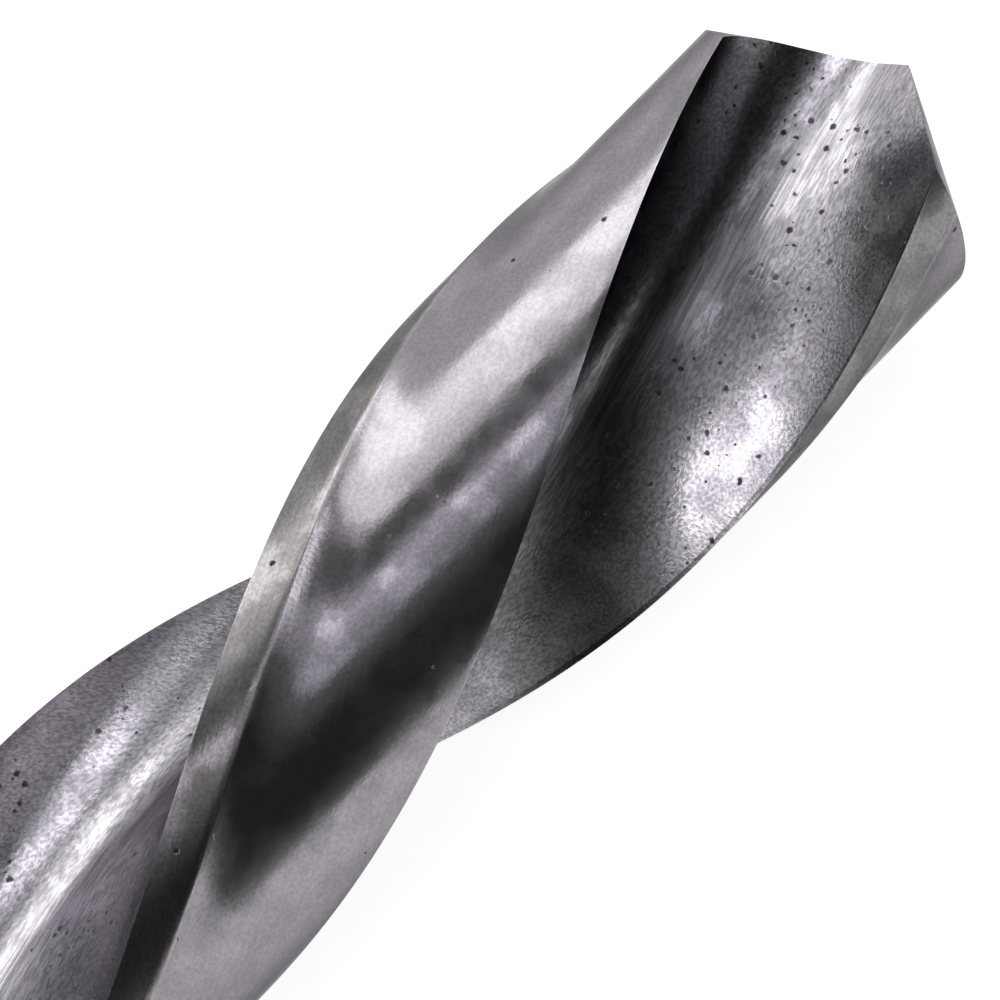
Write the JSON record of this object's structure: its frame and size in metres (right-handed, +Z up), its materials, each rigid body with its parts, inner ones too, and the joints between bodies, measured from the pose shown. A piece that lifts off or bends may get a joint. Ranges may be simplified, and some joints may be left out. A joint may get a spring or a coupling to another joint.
{
  "type": "twist drill bit",
  "caption": "Left-hand twist drill with helical flutes, narrow margins, a conical ground point with a chisel edge, and a plain parallel shank for a chuck.",
  "frame": {"origin": "on the surface that the drill lies on, under the middle of its length and its axis", "axes": "+X along the drill's axis from the shank towards the point, +Z up from the surface it lies on"},
  "size_m": [0.086, 0.005, 0.005],
  "materials": {
    "ground_steel": "bare ground and polished tool steel, with fine grinding lines, small pits and light stains"
  },
  "bodies": {
    "root": {"twist_drill": "ground_steel"}
  },
  "joints": []
}
